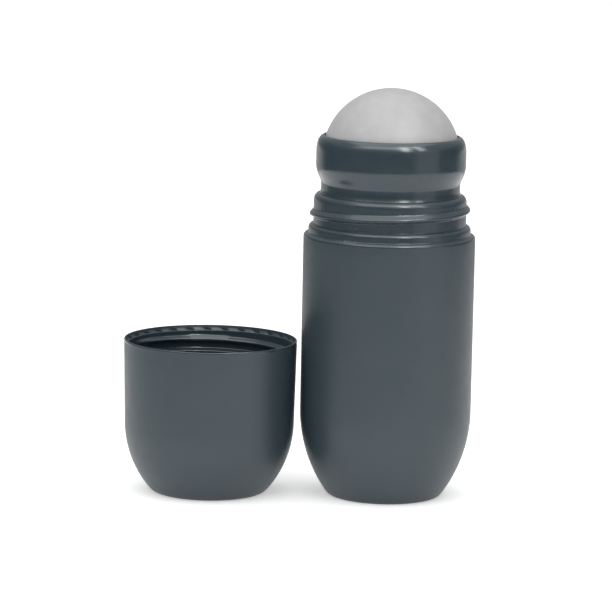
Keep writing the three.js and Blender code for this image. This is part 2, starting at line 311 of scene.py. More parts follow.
class NodeSheet:
    """Node tree of one material, with short calls that add nodes and join them."""

    def __init__(self, name: str) -> None:
        """Starts a material with a Principled shader.

        Args:
            name: Name of the material.
        """
        self.material = bpy.data.materials.new(name)
        self.material.use_nodes = True
        self.tree = self.material.node_tree
        self.shader = self.tree.nodes["Principled BSDF"]
        self.place = self.add("TexCoord", {}).outputs["Object"]

    def feed(self, sockets: bpy.types.bpy_prop_collection, inputs: dict[str | int, Feed]) -> None:
        """Links sockets of a node to other sockets, or sets their values.

        Args:
            sockets: Input sockets of the node.
            inputs: What they are fed, by name or number.
        """
        for key, value in inputs.items():
            if isinstance(value, Socket):
                self.tree.links.new(value, sockets[key])
            else:
                sockets[key].default_value = value

    def shade(self, inputs: dict[str, Feed]) -> None:
        """Feeds the shader's own sockets."""
        self.feed(self.shader.inputs, inputs)

    def add(self, kind: str, inputs: dict[str | int, Feed], **settings: str) -> bpy.types.Node:
        """Adds a node.

        Args:
            kind: Kind of node.
            inputs: What its sockets are fed.
            settings: Its settings, which are made first.

        Returns:
            The node.
        """
        node = self.tree.nodes.new(f"ShaderNode{kind}")
        for name, value in settings.items():
            setattr(node, name, value)
        self.feed(node.inputs, inputs)
        return node

    def noise(self, size: float, detail: float, stretch: Place = (1, 1, 1)) -> Socket:
        """Adds cloudy noise.

        Args:
            size: Size of its patches.
            detail: Octaves of finer noise in it.
            stretch: How much the patches are drawn out along each axis.

        Returns:
            The noise, about 0.5 with most of it within NOISE_REACH.
        """
        scale = [1 / (size * part) for part in stretch]
        scaled = self.add("Mapping", {"Vector": self.place, "Scale": scale}).outputs["Vector"]
        return self.add("TexNoise", {"Vector": scaled, "Scale": 1.0, "Detail": detail}).outputs[0]

    def remap(self, value: Socket, reach: Span, onto: Span) -> Socket:
        """Maps a range of a value onto another range, and holds it at the ends."""
        return self.add("MapRange", dict(enumerate((value, *reach, *onto)))).outputs[0]

    def math(self, operation: str, first: Socket, second: Socket | float) -> Socket:
        """Works out one value from two."""
        return self.add("Math", {0: first, 1: second}, operation=operation).outputs[0]

    def blend(self, share: Socket, first: Socket | Colour, second: Socket | Colour) -> Socket:
        """Mixes two colours by the share of the second."""
        mix = self.add("Mix", {0: share, MIX_FIRST: first, MIX_SECOND: second}, data_type="RGBA")
        return mix.outputs[MIX_RESULT]

    def bump(self, height: Socket, depth: float, under: Socket | None = None) -> Socket:
        """Turns a height into a bumped normal.

        Args:
            height: Height from 0 to 1.
            depth: Real depth of that range.
            under: Normal that the bump stands on.

        Returns:
            The bumped normal.
        """
        below = {} if under is None else {"Normal": under}
        return self.add("Bump", {"Distance": depth, "Height": height, **below}).outputs["Normal"]

    def near(self, centre: Place, reach: Place) -> Socket:
        """Gives 1 at a point, fading to 0 away from it.

        Args:
            centre: The point.
            reach: Distance along each axis at which nothing is left.

        Returns:
            The share, from 0 to 1.
        """
        scale = [1 / length for length in reach]
        shift = [-part / length for part, length in zip(centre, reach)]
        scaled = self.add("Mapping", {"Vector": self.place, "Scale": scale, "Location": shift})
        distance = self.add("VectorMath", {0: scaled.outputs["Vector"]}, operation="LENGTH")
        return self.remap(distance.outputs["Value"], (0.0, 1.0), (1.0, 0.0))

    def along(self, axis: str) -> Socket:
        """Gives the place along one axis, which is X, Y or Z."""
        return self.add("SeparateXYZ", {0: self.place}).outputs[axis]


class Finish(ABC):
    """Surface finish that makes its own material."""

    @abstractmethod
    def material(self) -> bpy.types.Material:
        """Makes the material."""


@dataclass(frozen=True)
class Rub:
    """Spot on an edge where handling has rubbed the plastic pale, in patches."""

    centre: Place
    reach: Place
    colour: Colour
    patch: float
    amount: Span


@dataclass(frozen=True)
class MouldedPlastic(Finish):
    """Coloured moulded plastic: faint clouds in the colour, a surface grain, and rubbed spots."""

    name: str
    colour: Colour
    cloud_colour: Colour
    cloud_size: float
    roughness: Span
    grain_size: float
    grain_depth: float
    swell_size: float
    swell_depth: float
    sheens_per_cloud: float = 3.0
    index: float = 1.57
    rubs: tuple[Rub, ...] = ()

    def material(self) -> bpy.types.Material:
        """Makes the material with its clouds, grain and rubbed spots.

        Returns:
            The material.
        """
        sheet = NodeSheet(self.name)
        clouds = sheet.remap(sheet.noise(self.cloud_size, detail=3.0), NOISE_REACH, (0.0, 1.0))
        colour = sheet.blend(clouds, self.colour, self.cloud_colour)
        sheen = sheet.noise(self.cloud_size / self.sheens_per_cloud, detail=4.0)
        for rub in self.rubs:
            patches = sheet.remap(sheet.noise(rub.patch, detail=3.0), rub.amount, (0.0, 1.0))
            rubbed = sheet.math("MULTIPLY", patches, sheet.near(rub.centre, rub.reach))
            colour = sheet.blend(rubbed, colour, rub.colour)
        swell = sheet.bump(sheet.noise(self.swell_size, detail=1.0), self.swell_depth)
        grain = sheet.bump(sheet.noise(self.grain_size, detail=2.0), self.grain_depth, swell)
        roughness = sheet.remap(sheen, NOISE_REACH, self.roughness)
        sheet.shade({"Base Color": colour, "Roughness": roughness, "IOR": self.index, "Normal": grain})
        return sheet.material


@dataclass(frozen=True)
class BallPlastic(Finish):
    """Pale plastic of the ball, ground round: cloudy, with fine scratches in every direction."""

    name: str
    colour: Colour
    cloud_colour: Colour
    cloud_size: float
    roughness: Span
    scratch_length: float
    scratch_width: float
    scratch_depth: float
    cloud_reach: Span = (0.35, 0.65)

    def material(self) -> bpy.types.Material:
        """Makes the material with its clouds and two sets of crossing scratches.

        Returns:
            The material.
        """
        sheet = NodeSheet(self.name)
        clouds = sheet.noise(self.cloud_size, detail=4.0)
        share = sheet.remap(clouds, self.cloud_reach, (0.0, 1.0))
        normal = None
        for drawn_axis in range(2):
            stretch = [1.0, 1.0, 1.0]
            stretch[drawn_axis] = self.scratch_length / self.scratch_width
            scratches = sheet.noise(self.scratch_width, detail=2.0, stretch=tuple(stretch))
            normal = sheet.bump(scratches, self.scratch_depth, normal)
        colour = sheet.blend(share, self.colour, self.cloud_colour)
        roughness = sheet.remap(clouds, NOISE_REACH, self.roughness)
        sheet.shade({"Base Color": colour, "Roughness": roughness, "Normal": normal})
        return sheet.material


@dataclass(frozen=True)
class MilkyLiquid(Finish):
    """White emulsion with slightly thinner streaks."""

    name: str
    colour: Colour
    streak_colour: Colour
    streak_size: float
    roughness: Span
    streak_stretch: Place = (1.0, 1.0, 3.0)
    streak_reach: Span = (0.4, 0.6)

    def material(self) -> bpy.types.Material:
        """Makes the material with its streaks.

        Returns:
            The material.
        """
        sheet = NodeSheet(self.name)
        streaks = sheet.noise(self.streak_size, detail=3.0, stretch=self.streak_stretch)
        share = sheet.remap(streaks, self.streak_reach, (0.0, 1.0))
        colour = sheet.blend(share, self.colour, self.streak_colour)
        roughness = sheet.remap(streaks, NOISE_REACH, self.roughness)
        sheet.shade({"Base Color": colour, "Roughness": roughness})
        return sheet.material


@dataclass(frozen=True)
class Ridge:
    """Helical ridge of a thread: two flanks and a crest between them along the wall, with faded ends."""

    lead: float
    lower_flank: float
    crest: float
    upper_flank: float
    start_angle: float
    sweep: float
    start_height: float
    fade: float
    ease: float = 0.25

    def height_at(self, turn: float) -> float:
        """Gives the height of the crest at a turn from the start, in degrees."""
        return self.start_height + self.lead * turn / 360

    def share(self, angle: float, height: float) -> float:
        """Gives how much of the ridge stands at a place on its wall.

        Args:
            angle: Angle round the wall, in radians.
            height: Height along the wall.

        Returns:
            A share from 0, on the bare wall, to 1, on the crest.
        """
        best = 0.0
        turn = (math.degrees(angle) - self.start_angle) % 360
        while turn < self.sweep:
            off = height - self.height_at(turn)
            run = self.upper_flank if off > 0 else self.lower_flank
            flank = ramp(1 - (abs(off) - self.crest / 2) / run, self.ease)
            end = smooth(min(turn, self.sweep - turn) / self.fade)
            best = max(best, flank * end)
            turn += 360
        return best


@dataclass(frozen=True)
class Taper:
    """Side of a piece that draws in along an arc towards its end face."""

    side_radius: float
    curve: float
    height: float

    @property
    def centre(self) -> Point:
        """Centre of the arc, with heights counted from the end face."""
        return (self.side_radius - self.curve, self.height)

    def radius_at(self, height: float, inset: float = 0.0) -> float:
        """Gives the radius at a height above the end face, on the side or on a wall inset from it."""
        return self.centre[0] + chord(self.curve - inset, self.height - height)

    def angle_at(self, height: float, inset: float = 0.0) -> float:
        """Gives the arc's angle there, in radians below the level of its centre."""
        return math.asin((self.height - height) / (self.curve - inset))


class TurnedPiece(ABC):
    """Piece of fine turned mesh that stands for one node of the frame."""

    name: str
    node: str
    body: str
    slot: str
    columns: int = 144
    closed: bool = False

    @abstractmethod
    def outline(self) -> list[Stretch]:
        """Gives the half outline, with the solid on its left."""

    @abstractmethod
    def finishes(self) -> dict[Zone, Finish]:
        """Gives the finish of each zone."""

    def place(self) -> Matrix:
        """Stands the piece on its node's axis."""
        return Matrix.Translation(axis_of(self.node))

    def angles(self) -> list[float]:
        """Gives the angle of each column."""
        return [math.tau * column / self.columns for column in range(self.columns)]

    def relief(self, row: Row, angle: float) -> Polar:
        """Gives the radius, angle and height of a point of a row."""
        return (row.radius, angle, row.height)

    def build(self) -> bpy.types.Object:
        """Makes the piece, and puts it on its body in place of its node.

        Returns:
            The new object, still without materials.
        """
        rows = rows_of(self.outline(), self.closed)
        slots = list(self.finishes())
        mesh = turned_mesh(self.name, rows, self.angles(), self.closed, self.relief, slots)
        mesh.transform(self.place())
        piece = add_object(self.name, mesh)
        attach(piece, self.body)
        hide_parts(self.node)
        return piece

    def dress(self, piece: bpy.types.Object) -> None:
        """Gives the piece its materials, in the order of the zones."""
        for finish in self.finishes().values():
            piece.data.materials.append(finish.material())


def axis_of(node: str) -> Vector:
    """Gives the point on the floor under the axis of a turned node."""
    low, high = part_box(node)
    return Vector(((low.x + high.x) / 2, (low.y + high.y) / 2, 0.0))


def half_width(node: str) -> float:
    """Gives the largest radius of a turned node."""
    low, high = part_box(node)
    return (high.x - low.x) / 2


def ball_centre() -> Vector:
    """Gives the centre of the ball, on the axis that it rolls about."""
    joints = frame["record"]["behaviour"]["joints"]
    return Vector(next(joint["pos_m"] for joint in joints if joint["child"] == RollerBall.body))


RUBBED_RESIN = (0.17, 0.19, 0.2, 1.0)

# Fine matte texture of the outsides
TEXTURE = MouldedPlastic(
    name="texture",
    colour=(0.0365, 0.058, 0.071, 1.0),
    cloud_colour=(0.0415, 0.063, 0.0755, 1.0),
    cloud_size=9 * MM,
    roughness=(0.4, 0.46),
    grain_size=0.22 * MM,
    grain_depth=0.008 * MM,
    swell_size=6 * MM,
    swell_depth=0.01 * MM,
)

# Gloss of the surfaces that the cap covers
GLOSS = replace(
    TEXTURE,
    name="gloss",
    cloud_size=7 * MM,
    roughness=(0.17, 0.24),
    grain_size=0.5 * MM,
    grain_depth=0.001 * MM,
    swell_size=4 * MM,
    swell_depth=0.008 * MM,
)


@dataclass
class Bottle(TurnedPiece):
    """Bottle: textured body that draws in to its base, polished shoulder and threaded neck."""

    body_wall: float = 1.8 * MM
    taper_height: float = 22.5 * MM
    taper_curve: float = 37.0 * MM
    base_edge: float = 1.0 * MM
    base_thickness: float = 1.6 * MM
    standing_ring: float = 2.87 * MM
    recess_depth: float = 1.0 * MM
    recess_round: float = 0.3 * MM
    shoulder_edge: float = 0.95 * MM
    shoulder_wall: float = 1.6 * MM
    shoulder_flare: float = 2.5 * MM
    neck_bore: float = 18.2 * MM
    neck_wall: float = 1.48 * MM
    neck_height: float = 10.0 * MM
    lip_seat: float = 0.22 * MM
    lip_round: float = 1.3 * MM
    lip_round_height: float = 1.7 * MM
    edge_round: float = 0.1 * MM
    collar_wall: float = 1.25 * MM
    collar_proud: float = 1.25 * MM
    collar_round: float = 1.2 * MM
    collar_fillet: float = 0.3 * MM
    groove_depth: float = 2.2 * MM
    groove_half: float = 0.9 * MM
    groove_cut: float = 0.6 * MM
    thread_height: float = 1.0 * MM
    thread_rise: float = 3.58 * MM
    thread_step: float = 0.07 * MM
    worn_spot: Point = (-11.3 * MM, -18.9 * MM)
    worn_reach: Place = (4.5 * MM, 4.5 * MM, 0.5 * MM)
    worn_patch: float = 0.5 * MM
    worn_amount: Span = (0.44, 0.58)
    neck_roughness: Span = (0.22, 0.28)

    name = "bottle_moulding"
    node = "bottle"
    body = "bottle"
    slot = "bottle_plastic"

    def __post_init__(self) -> None:
        """Takes the main sizes from the frame."""
        self.lip_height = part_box(self.node)[1].z
        self.side = Taper(half_width(self.node), self.taper_curve, self.taper_height)
        self.body_height = self.lip_height - self.neck_height
        self.neck_radius = self.neck_bore + self.neck_wall
        self.thread = Ridge(
            lead=THREAD_LEAD,
            lower_flank=0.6 * MM,
            crest=0.5 * MM,
            upper_flank=1.1 * MM,
            start_angle=30.0,
            sweep=470.0,
            start_height=self.body_height + self.thread_rise,
            fade=25.0,
        )

    def base_outline(self) -> list[Corner]:
        """Gives the outside from the middle of the base to the top of the rounded base edge.

        Returns:
            The corners in order.
        """
        foot = self.side.radius_at(0.0)
        edge_start = foot - self.base_edge
        recess = edge_start - self.standing_ring
        edge_end = (self.side.radius_at(self.base_edge), self.base_edge)
        return [
            Corner(0.0, self.recess_depth),
            Corner(recess - self.recess_depth, self.recess_depth, self.recess_round),
            Corner(recess, 0.0, self.recess_round),
            *bend([(edge_start, 0.0), (foot, 0.0), edge_end], steps=6),
        ]

    def outline(self) -> list[Stretch]:
        """Gives the outside from the base up to the lip, then the inside down to the floor.

        Returns:
            The stretches in order.
        """
        side = self.side
        quarter = math.pi / 2
        shoulder = (side.side_radius - self.shoulder_edge, self.body_height - self.shoulder_edge)
        collar = (self.neck_radius, self.body_height + self.collar_wall)
        lip_top = self.lip_height + self.lip_seat
        lip = (self.neck_radius - self.lip_round, lip_top - self.lip_round_height)
        groove = (self.neck_bore, self.lip_height - self.groove_depth)
        shoulder_inside = self.body_height - self.shoulder_wall
        floor = self.recess_depth + self.base_thickness
        floor_angle = side.angle_at(floor, self.body_wall)
        base_angle = side.angle_at(self.base_edge)
        inside_curve = side.curve - self.body_wall
        return [
            Stretch(Zone.TEXTURED, step=3 * MM, corners=[
                *self.base_outline(),
                *arc(side.centre, (side.curve, side.curve), -base_angle, 0.0, steps=20)[1:],
            ]),
            Stretch(Zone.POLISHED, step=1 * MM, corners=[
                *arc(shoulder, (self.shoulder_edge, self.shoulder_edge), 0.0, quarter, steps=8),
                Corner(self.neck_radius + self.collar_proud, self.body_height, self.collar_fillet),
                *arc(collar, (self.collar_proud, self.collar_round), 0.0, quarter, steps=10)[:-1],
            ]),
            Stretch(Zone.POLISHED, step=self.thread_step, corners=[
                Corner(self.neck_radius, collar[1] + self.collar_round, self.edge_round),
            ]),
            Stretch(Zone.POLISHED, step=4 * MM, corners=[
                *arc(lip, (self.lip_round, self.lip_round_height), 0.0, quarter, steps=10),
                Corner(self.neck_bore, lip_top, self.edge_round),
                *arc(groove, (self.groove_cut, self.groove_half), quarter, -quarter, steps=6),
                Corner(self.neck_bore, shoulder_inside),
                Corner(side.side_radius - self.body_wall, shoulder_inside - self.shoulder_flare),
                *arc(side.centre, (inside_curve, inside_curve), 0.0, -floor_angle, steps=10),
                Corner(0.0, floor),
            ]),
        ]

    def relief(self, row: Row, angle: float) -> Polar:
        """Raises the thread on the neck's outside.

        Args:
            row: Row of the point.
            angle: Angle of its column.

        Returns:
            Its radius, angle and height.
        """
        if abs(row.radius - self.neck_radius) > self.edge_round:
            return (row.radius, angle, row.height)
        share = self.thread.share(angle, row.height)
        return (row.radius + self.thread_height * share, angle, row.height)

    def finishes(self) -> dict[Zone, Finish]:
        """Gives the textured body and the polished neck, rubbed along the shoulder's edge.

        Returns:
            The finish of each zone.
        """
        worn = axis_of(self.node) + Vector((*self.worn_spot, self.body_height))
        rub = Rub(tuple(worn), self.worn_reach, RUBBED_RESIN, self.worn_patch, self.worn_amount)
        return {
            Zone.TEXTURED: replace(TEXTURE, name="body_texture", rubs=(rub,)),
            Zone.POLISHED: replace(GLOSS, name="neck_gloss", roughness=self.neck_roughness, rubs=(rub,)),
        }


@dataclass
class BallHousing(TurnedPiece):
    """Housing that holds the ball: bulged rim, waist, flared foot on the lip, plug in the neck, cup."""

    ball_clearance: float = 0.3 * MM
    rim_land: float = 0.2 * MM
    rim_round_height: float = 3.7 * MM
    band_height: float = 3.6 * MM
    waist_curve_height: float = 5.15 * MM
    waist_lower_pull: float = 1.3 * MM
    waist_upper_pull: float = 2.45 * MM
    waist_radius: float = 17.9 * MM
    plug_wall: float = 1.35 * MM
    plug_round: float = 0.25 * MM
    cup_wall: float = 1.4 * MM
    feed_hole: float = 11.5 * MM
    snap_height: float = 5.8 * MM
    snap_proud: float = 0.6 * MM
    foot_height: float = 8.24 * MM
    foot_proud: float = 0.34 * MM
    foot_flare: float = 1.4 * MM
    foot_pull: float = 0.8 * MM
    edge_round: float = 0.08 * MM

    name = "housing_moulding"
    node = "ball_housing"
    body = "bottle"
    slot = "housing_plastic"
    columns = 120
    closed = True

    def outline(self) -> list[Stretch]:
        """Gives the outside from the plug up to the rim, then the seat, the cup and the plug's inside.

        Returns:
            The stretches in order.
        """
        low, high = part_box(self.node)
        quarter = math.pi / 2
        middle = (0.0, ball_centre().z)
        seat = RollerBall.radius() + self.ball_clearance
        cup = seat + self.cup_wall
        bulge = half_width(self.node)
        rim_lift = high.z - middle[1]
        rim = (chord(seat, rim_lift) + self.rim_land, high.z - self.rim_round_height)
        band_bottom = rim[1] - self.band_height
        waist_top = band_bottom - self.waist_curve_height
        plug_inside = self.waist_radius - self.plug_wall
        snap = (self.waist_radius, low.z + self.snap_height)
        foot = low.z + self.foot_height
        flare = [
            (self.waist_radius + self.foot_proud, foot),
            (self.waist_radius, foot + self.foot_pull),
            (self.waist_radius, foot + self.foot_flare),
        ]
        waist = [
            (self.waist_radius, waist_top),
            (self.waist_radius, waist_top + self.waist_lower_pull),
            (bulge, band_bottom - self.waist_upper_pull),
            (bulge, band_bottom),
        ]
        seat_end = -math.acos(self.feed_hole / seat)
        cup_span = (-math.acos(self.feed_hole / cup), -math.acos(plug_inside / cup))
        seat_arc = arc(middle, (seat, seat), math.asin(rim_lift / seat), seat_end, steps=20)
        return [
            Stretch(Zone.POLISHED, step=2 * MM, corners=[
                Corner(self.waist_radius, low.z, self.plug_round),
                *arc(snap, (self.snap_proud, self.snap_proud), -quarter, quarter, steps=6),
                Corner(self.waist_radius, foot),
                *bend(flare, steps=8),
                *bend(waist, steps=18),
                *arc(rim, (bulge - rim[0], self.rim_round_height), 0.0, quarter, steps=18),
                Corner(*seat_arc[0].point, self.edge_round),
                *seat_arc[1:],
                *arc(middle, (cup, cup), *cup_span, steps=6),
                Corner(plug_inside, low.z, self.plug_round),
            ])
        ]

    def finishes(self) -> dict[Zone, Finish]:
        """Gives the gloss of the housing."""
        return {Zone.POLISHED: replace(GLOSS, name="housing_gloss")}


class Half(Enum):
    """Halves of the ball."""

    UPPER = "upper"
    LOWER = "lower"


@dataclass
class RollerBall(TurnedPiece):
    """Half of the hollow ball, with its side of the weld joint about a hairline seam."""

    half: Half
    wall: float = 1.4 * MM
    seam: float = 0.02 * MM
    seam_round: float = 0.06 * MM
    tongue_length: float = 1.0 * MM
    tongue_wall: float = 0.6 * MM
    tongue_gap: float = 0.3 * MM

    body = "ball"
    slot = "ball_plastic"
    columns = 80

    def __post_init__(self) -> None:
        """Names the half and its node."""
        self.name = f"ball_{self.half.value}_half"
        self.node = f"ball_{self.half.value}_shell"

    @staticmethod
    def radius() -> float:
        """Gives the ball's radius from the frame."""
        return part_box("ball_upper_shell")[1].z - ball_centre().z

    def outline(self) -> list[Stretch]:
        """Gives the half outline of this half about the ball's centre.

        Returns:
            The stretches in order.
        """
        outside = self.radius()
        inside = outside - self.wall
        tongue = inside + self.tongue_wall
        recess = tongue + self.tongue_gap
        recess_depth = self.tongue_length + self.tongue_gap
        seam = self.seam / 2
        seam_angle = math.asin(seam / outside)
        recess_angle = math.asin(recess_depth / inside)
        quarter = math.pi / 2
        if self.half is Half.UPPER:
            outer = arc((0.0, 0.0), (outside, outside), seam_angle, quarter, steps=32)
            corners = [
                *arc((0.0, 0.0), (inside, inside), quarter, 0.0, steps=14),
                Corner(inside, -self.tongue_length),
                Corner(tongue, -self.tongue_length),
                Corner(tongue, seam),
                Corner(*outer[0].point, self.seam_round),
                *outer[1:],
            ]
        else:
            outer = arc((0.0, 0.0), (outside, outside), -quarter, -seam_angle, steps=32)
            corners = [
                *outer[:-1],
                Corner(*outer[-1].point, self.seam_round),
                Corner(recess, -seam),
                Corner(recess, -recess_depth),
                *arc((0.0, 0.0), (inside, inside), -recess_angle, -quarter, steps=14),
            ]
        return [Stretch(Zone.TEXTURED, step=2 * MM, corners=corners)]

    def place(self) -> Matrix:
        """Puts the half at the ball's centre."""
        return Matrix.Translation(ball_centre())

    def finishes(self) -> dict[Zone, Finish]:
        """Gives the ground surface of the ball.

        Returns:
            The finish of its one zone.
        """
        return {
            Zone.TEXTURED: BallPlastic(
                name=f"{self.name}_ground",
                colour=(0.46, 0.455, 0.465, 1.0),
                cloud_colour=(0.5, 0.495, 0.5, 1.0),
                cloud_size=3.5 * MM,
                roughness=(0.38, 0.5),
                scratch_length=3 * MM,
                scratch_width=0.2 * MM,
                scratch_depth=0.003 * MM,
            )
        }


@dataclass(frozen=True)
class Teeth:
    """Ring of slanted notches, cut into the chamfer inside a mouth."""

    count: int
    gap: float
    edge: float
    slant: float
    turn: float
    radius: float
    floor_inset: float
    top: float
    run_out: float

    def angles(self) -> list[float]:
        """Gives columns on each notch's floor, on the foot and head of its edges, and on the land.

        Returns:
            The angle of each column.
        """
        pitch = math.tau / self.count
        head = (self.gap / 2 + self.edge) / self.radius
        foot = (self.gap / 2 - self.edge) / self.radius
        land = (head + pitch / 2) / 2
        offsets = (-land, -head, -foot, -foot / 3, foot / 3, foot, head, land, pitch / 2)
        first = math.radians(self.turn)
        return [first + pitch * notch + offset for notch in range(self.count) for offset in offsets]

    def lean(self, height: float) -> float:
        """Gives how far the columns lean round at a height, in radians."""
        return -math.tan(math.radians(self.slant)) * max(0.0, self.top - height) / self.radius

    def cut(self, angle: float, height: float) -> float:
        """Gives how much of the notch is cut at a place.

        Args:
            angle: Angle of the column.
            height: Height above the mouth.

        Returns:
            A share from 0, on the land, to 1, on the notch's floor.
        """
        pitch = math.tau / self.count
        off = abs((angle - math.radians(self.turn) + pitch / 2) % pitch - pitch / 2) * self.radius
        across = ramp((self.gap / 2 + self.edge - off) / (2 * self.edge))
        return across * smooth((self.top + self.run_out - height) / self.run_out)


@dataclass
class ScrewCap(TurnedPiece):
    """Screw cap, made with its mouth down at height 0, then turned over onto its closed end."""

    mouth_wall: float = 0.99 * MM
    mouth_land: float = 0.35 * MM
    mouth_bore_depth: float = 2.6 * MM
    chamfer_depth: float = 1.4 * MM
    knee_inset: float = 0.12 * MM
    knee_depth: float = 0.75 * MM
    knee_round: float = 0.3 * MM
    thread_crest: float = 20.08 * MM
    thread_top: float = 8.6 * MM
    thread_step: float = 0.16 * MM
    lug_turn: float = 52.4
    tooth_step: float = 0.16 * MM
    draft: float = 0.44 * MM
    side_wall: float = 1.2 * MM
    taper_height: float = 18.5 * MM
    taper_curve: float = 26.8 * MM
    top_wall: float = 1.5 * MM
    top_edge: float = 1.2 * MM
    ring_radius: float = 7.6 * MM
    ring_wall: float = 1.0 * MM
    ring_depth: float = 2.73 * MM
    inside_round: float = 0.25 * MM
    land_round: float = 0.05 * MM
    lip_round: float = 0.3 * MM
    turn: float = 18.0

    name = "cap_moulding"
    node = "screw_cap"
    body = "cap"
    slot = "cap_plastic"

    def __post_init__(self) -> None:
        """Takes the main sizes from the frame."""
        self.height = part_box(self.node)[1].z
        self.mouth_radius = half_width(self.node)
        self.mouth_bore = self.mouth_radius - self.mouth_wall
        self.side = Taper(self.mouth_radius - self.draft, self.taper_curve, self.taper_height)
        self.teeth = Teeth(
            count=30,
            gap=1.9 * MM,
            edge=0.2 * MM,
            slant=48.0,
            turn=8.2,
            radius=self.mouth_bore,
            floor_inset=0.12 * MM,
            top=1.28 * MM,
            run_out=0.1 * MM,
        )
        thread = Ridge(
            lead=THREAD_LEAD,
            lower_flank=0.6 * MM,
            crest=0.3 * MM,
            upper_flank=0.9 * MM,
            start_angle=181.65,
            sweep=500.0,
            start_height=3.03 * MM,
            fade=25.0,
        )
        lug = replace(
            thread,
            lower_flank=0.85 * MM,
            start_angle=thread.start_angle + self.lug_turn,
            sweep=31.0,
            start_height=thread.height_at(self.lug_turn),
            fade=3.0,
        )
        self.ridges = (thread, lug)

    def angles(self) -> list[float]:
        """Gives columns that follow the teeth."""
        return self.teeth.angles()

    def outline(self) -> list[Stretch]:
        """Gives the inside from the ceiling down to the mouth, then the outside up to the closed end.

        Returns:
            The stretches in order.
        """
        ceiling = self.height - self.top_wall
        ring_end = ceiling - self.ring_depth
        ring_outside = self.ring_radius + self.ring_wall
        centre = (self.side.centre[0], self.height - self.side.height)
        inside_curve = self.side.curve - self.side_wall
        inside_end = (self.side.side_radius - self.side_wall, centre[1])
        bore_end = (self.mouth_bore, self.mouth_bore_depth)
        thread_share = (self.thread_top - bore_end[1]) / (inside_end[1] - bore_end[1])
        above_thread = lerp(bore_end, inside_end, thread_share)
        ceiling_angle = self.side.angle_at(self.top_wall, self.side_wall)
        edge_angle = self.side.angle_at(self.top_edge)
        foot = self.side.radius_at(0.0)
        side_start = Corner(self.side.side_radius, centre[1])
        land = self.mouth_radius - self.mouth_land
        ledge = [(self.mouth_bore, self.chamfer_depth), (land - self.knee_inset, self.knee_depth)]
        notch_ends = [
            lerp(*ledge, (self.chamfer_depth - height) / (self.chamfer_depth - self.knee_depth))
            for height in (self.teeth.top + self.teeth.run_out, self.teeth.top)
        ]
        edge = [
            (self.side.radius_at(self.top_edge), self.height - self.top_edge),
            (foot, self.height),
            (foot - self.top_edge, self.height),
        ]
        return [
            Stretch(Zone.POLISHED, step=3 * MM, corners=[
                Corner(0.0, ceiling),
                Corner(self.ring_radius, ceiling, self.inside_round),
                Corner(self.ring_radius, ring_end, self.inside_round),
                Corner(ring_outside, ring_end, self.inside_round),
                Corner(ring_outside, ceiling, self.inside_round),
                *arc(centre, (inside_curve, inside_curve), ceiling_angle, 0.0, steps=12),
            ]),
            Stretch(Zone.POLISHED, step=self.thread_step, corners=[
                Corner(*above_thread),
                Corner(*bore_end),
            ]),
            Stretch(Zone.SATIN, step=self.tooth_step, corners=[
                Corner(*ledge[0]),
                *[Corner(*point) for point in notch_ends],
                Corner(*ledge[1], self.knee_round),
                Corner(land, 0.0, self.land_round),
            ]),
            Stretch(Zone.POLISHED, step=3 * MM, corners=[
                Corner(self.mouth_radius, 0.0, self.lip_round),
            ]),
            Stretch(Zone.TEXTURED, step=3 * MM, corners=[
                Corner(*toward((self.mouth_radius, 0.0), side_start.point, 2 * self.lip_round)),
                *arc(centre, (self.side.curve, self.side.curve), 0.0, edge_angle, steps=16)[:-1],
                *bend(edge, steps=6),
                Corner(0.0, self.height),
            ]),
        ]

    def relief(self, row: Row, angle: float) -> Polar:
        """Cuts the teeth's notches, raises the thread inside, and leans the columns with the teeth.

        Args:
            row: Row of the point.
            angle: Angle of its column.

        Returns:
            Its radius, angle and height.
        """
        land = self.mouth_radius - self.mouth_land
        if row.zone is Zone.TEXTURED or row.radius > land:
            return (row.radius, angle + self.teeth.lean(0.0), row.height)
        turn = angle + self.teeth.lean(row.height)
        radius = row.radius
        if row.zone is Zone.SATIN:
            depth = max(0.0, land - self.teeth.floor_inset - radius)
            radius += depth * self.teeth.cut(angle, row.height)
        elif row.height < self.thread_top:
            share = max(ridge.share(turn, row.height) for ridge in self.ridges)
            radius += (self.thread_crest - radius) * share
        return (radius, turn, row.height)

    def place(self) -> Matrix:
        """Turns the cap over and stands it beside the bottle."""
        over = Matrix.Rotation(math.pi, 4, "X") @ Matrix.Rotation(math.radians(self.turn), 4, "Z")
        return Matrix.Translation(axis_of(self.node) + Vector((0.0, 0.0, self.height))) @ over

    def finishes(self) -> dict[Zone, Finish]:
        """Gives the polished inside, the textured outside and the satin teeth.

        Returns:
            The finish of each zone.
        """
        return {
            Zone.POLISHED: replace(GLOSS, name="cap_inside_gloss"),
            Zone.TEXTURED: replace(TEXTURE, name="cap_texture"),
            Zone.SATIN: replace(TEXTURE, name="cap_teeth_satin"),
        }


